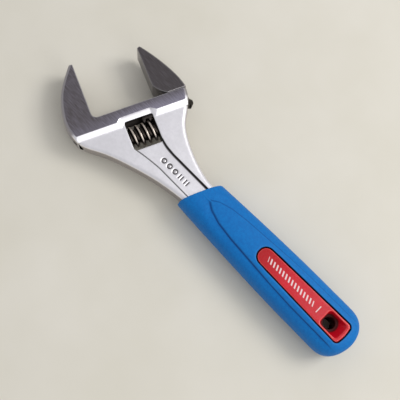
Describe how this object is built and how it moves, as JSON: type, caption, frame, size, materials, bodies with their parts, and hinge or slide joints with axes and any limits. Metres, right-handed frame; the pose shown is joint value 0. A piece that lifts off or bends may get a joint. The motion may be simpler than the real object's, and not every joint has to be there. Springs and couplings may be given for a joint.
{
  "type": "adjustable wrench",
  "caption": "Adjustable wrench with a sliding lower jaw driven by a thumb worm, and a padded two-layer grip with a hanging hole.",
  "frame": {"origin": "centre of the hanging hole, on the tool's mid-plane", "axes": "+X runs along the handle towards the jaws, +Z is the outward normal of the front face, +Y is on the fixed jaw's side"},
  "size_m": [0.2089, 0.0652, 0.0232],
  "materials": {
    "forged_body": "satin chrome plate, with a darker polished head",
    "moving_jaw": "polished, darker than the neck",
    "worm": "oiled dark steel with bright crests",
    "worm_pin": "turned",
    "worm_spring": "spring wire",
    "grip_core": "hard red plastic, semi-gloss",
    "grip_cover": "soft blue rubber, fine matt texture"
  },
  "bodies": {
    "body": {"forged_body": "forged_body", "worm_pin": "worm_pin", "worm_spring": "worm_spring", "grip_core": "grip_core", "grip_cover": "grip_cover"},
    "jaw": {"moving_jaw": "moving_jaw"},
    "thumb_worm": {"worm": "worm"}
  },
  "joints": [
    {"name": "jaw_slide", "type": "slide", "parent": "body", "child": "jaw", "axis": [0.3827, 0.9239, 0], "range_m": [-0.002, 0.036]},
    {"name": "worm_spin", "type": "hinge", "parent": "body", "child": "thumb_worm", "pos_m": [0.1385, -0.0026, 0], "axis": [-0.3827, -0.9239, 0], "range_deg": [-207, 3704]}
  ],
  "couplings": [
    {"joint": "worm_spin", "follows": "jaw_slide", "rad_per_m": 1795.2}
  ]
}
